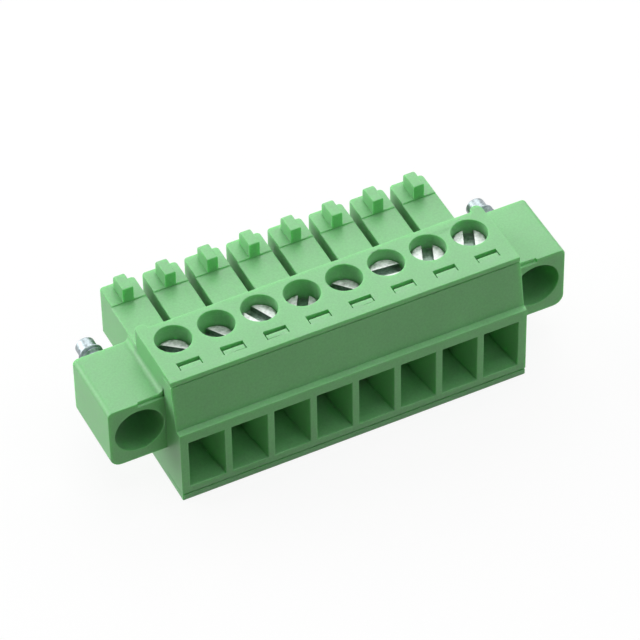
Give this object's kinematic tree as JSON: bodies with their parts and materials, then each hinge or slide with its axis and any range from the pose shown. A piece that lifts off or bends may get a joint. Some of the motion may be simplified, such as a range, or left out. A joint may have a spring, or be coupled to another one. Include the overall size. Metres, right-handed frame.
{
  "type": "pluggable terminal block",
  "caption": "Green pluggable screw terminal block in one row: rising-cage clamps for wires at the front, fork contacts in keyed towers behind, and a captive fixing screw in each end flange.",
  "frame": {"origin": "middle of the overall footprint, on the plane of the underside", "axes": "+X along the row of poles, -Y the wire-entry side, +Y the plug side, +Z the screw side"},
  "size_m": [0.038, 0.0158, 0.0114],
  "materials": {
    "moulding": "moulded polyamide, satin",
    "zinc_screw": "zinc-plated steel, bright",
    "nickel_cage": "nickel-plated steel, satin",
    "tinned_contact": "tin-plated copper alloy, dull"
  },
  "bodies": {
    "housing": {"housing": "moulding", "wire_entry_front": "moulding", "contact_1": "tinned_contact", "contact_2": "tinned_contact", "contact_3": "tinned_contact", "contact_4": "tinned_contact", "contact_5": "tinned_contact", "contact_6": "tinned_contact", "contact_7": "tinned_contact", "contact_8": "tinned_contact"},
    "clamp_screw_1": {"clamp_screw_1": "zinc_screw"},
    "clamp_cage_1": {"clamp_cage_1": "nickel_cage"},
    "clamp_screw_2": {"clamp_screw_2": "zinc_screw"},
    "clamp_cage_2": {"clamp_cage_2": "nickel_cage"},
    "clamp_screw_3": {"clamp_screw_3": "zinc_screw"},
    "clamp_cage_3": {"clamp_cage_3": "nickel_cage"},
    "clamp_screw_4": {"clamp_screw_4": "zinc_screw"},
    "clamp_cage_4": {"clamp_cage_4": "nickel_cage"},
    "clamp_screw_5": {"clamp_screw_5": "zinc_screw"},
    "clamp_cage_5": {"clamp_cage_5": "nickel_cage"},
    "clamp_screw_6": {"clamp_screw_6": "zinc_screw"},
    "clamp_cage_6": {"clamp_cage_6": "nickel_cage"},
    "clamp_screw_7": {"clamp_screw_7": "zinc_screw"},
    "clamp_cage_7": {"clamp_cage_7": "nickel_cage"},
    "clamp_screw_8": {"clamp_screw_8": "zinc_screw"},
    "clamp_cage_8": {"clamp_cage_8": "nickel_cage"},
    "fixing_screw_left": {"fixing_screw_left": "zinc_screw"},
    "fixing_screw_right": {"fixing_screw_right": "zinc_screw"}
  },
  "joints": [
    {"name": "clamp_screw_1_turn", "type": "hinge", "parent": "housing", "child": "clamp_screw_1", "pos_m": [-0.01225, -0.00258, 0.007], "axis": [0, 0, -1], "range_deg": [0, 2160]},
    {"name": "clamp_cage_1_rise", "type": "slide", "parent": "housing", "child": "clamp_cage_1", "axis": [0, 0, 1], "range_m": [0, 0.0024]},
    {"name": "clamp_screw_2_turn", "type": "hinge", "parent": "housing", "child": "clamp_screw_2", "pos_m": [-0.00875, -0.00258, 0.007], "axis": [0, 0, -1], "range_deg": [0, 2160]},
    {"name": "clamp_cage_2_rise", "type": "slide", "parent": "housing", "child": "clamp_cage_2", "axis": [0, 0, 1], "range_m": [0, 0.0024]},
    {"name": "clamp_screw_3_turn", "type": "hinge", "parent": "housing", "child": "clamp_screw_3", "pos_m": [-0.00525, -0.00258, 0.007], "axis": [0, 0, -1], "range_deg": [0, 2160]},
    {"name": "clamp_cage_3_rise", "type": "slide", "parent": "housing", "child": "clamp_cage_3", "axis": [0, 0, 1], "range_m": [0, 0.0024]},
    {"name": "clamp_screw_4_turn", "type": "hinge", "parent": "housing", "child": "clamp_screw_4", "pos_m": [-0.00175, -0.00258, 0.007], "axis": [0, 0, -1], "range_deg": [0, 2160]},
    {"name": "clamp_cage_4_rise", "type": "slide", "parent": "housing", "child": "clamp_cage_4", "axis": [0, 0, 1], "range_m": [0, 0.0024]},
    {"name": "clamp_screw_5_turn", "type": "hinge", "parent": "housing", "child": "clamp_screw_5", "pos_m": [0.00175, -0.00258, 0.007], "axis": [0, 0, -1], "range_deg": [0, 2160]},
    {"name": "clamp_cage_5_rise", "type": "slide", "parent": "housing", "child": "clamp_cage_5", "axis": [0, 0, 1], "range_m": [0, 0.0024]},
    {"name": "clamp_screw_6_turn", "type": "hinge", "parent": "housing", "child": "clamp_screw_6", "pos_m": [0.00525, -0.00258, 0.007], "axis": [0, 0, -1], "range_deg": [0, 2160]},
    {"name": "clamp_cage_6_rise", "type": "slide", "parent": "housing", "child": "clamp_cage_6", "axis": [0, 0, 1], "range_m": [0, 0.0024]},
    {"name": "clamp_screw_7_turn", "type": "hinge", "parent": "housing", "child": "clamp_screw_7", "pos_m": [0.00875, -0.00258, 0.007], "axis": [0, 0, -1], "range_deg": [0, 2160]},
    {"name": "clamp_cage_7_rise", "type": "slide", "parent": "housing", "child": "clamp_cage_7", "axis": [0, 0, 1], "range_m": [0, 0.0024]},
    {"name": "clamp_screw_8_turn", "type": "hinge", "parent": "housing", "child": "clamp_screw_8", "pos_m": [0.01225, -0.00258, 0.007], "axis": [0, 0, -1], "range_deg": [0, 2160]},
    {"name": "clamp_cage_8_rise", "type": "slide", "parent": "housing", "child": "clamp_cage_8", "axis": [0, 0, 1], "range_m": [0, 0.0024]},
    {"name": "fixing_screw_left_turn", "type": "hinge", "parent": "housing", "child": "fixing_screw_left", "pos_m": [-0.0165, 0.00042, 0.00635], "axis": [0, 1, 0], "continuous": true},
    {"name": "fixing_screw_right_turn", "type": "hinge", "parent": "housing", "child": "fixing_screw_right", "pos_m": [0.0165, 0.00042, 0.00635], "axis": [0, 1, 0], "continuous": true}
  ],
  "couplings": [
    {"joint": "clamp_screw_1_turn", "follows": "clamp_cage_1_rise", "rad_per_m": 15708},
    {"joint": "clamp_screw_2_turn", "follows": "clamp_cage_2_rise", "rad_per_m": 15708},
    {"joint": "clamp_screw_3_turn", "follows": "clamp_cage_3_rise", "rad_per_m": 15708},
    {"joint": "clamp_screw_4_turn", "follows": "clamp_cage_4_rise", "rad_per_m": 15708},
    {"joint": "clamp_screw_5_turn", "follows": "clamp_cage_5_rise", "rad_per_m": 15708},
    {"joint": "clamp_screw_6_turn", "follows": "clamp_cage_6_rise", "rad_per_m": 15708},
    {"joint": "clamp_screw_7_turn", "follows": "clamp_cage_7_rise", "rad_per_m": 15708},
    {"joint": "clamp_screw_8_turn", "follows": "clamp_cage_8_rise", "rad_per_m": 15708}
  ]
}
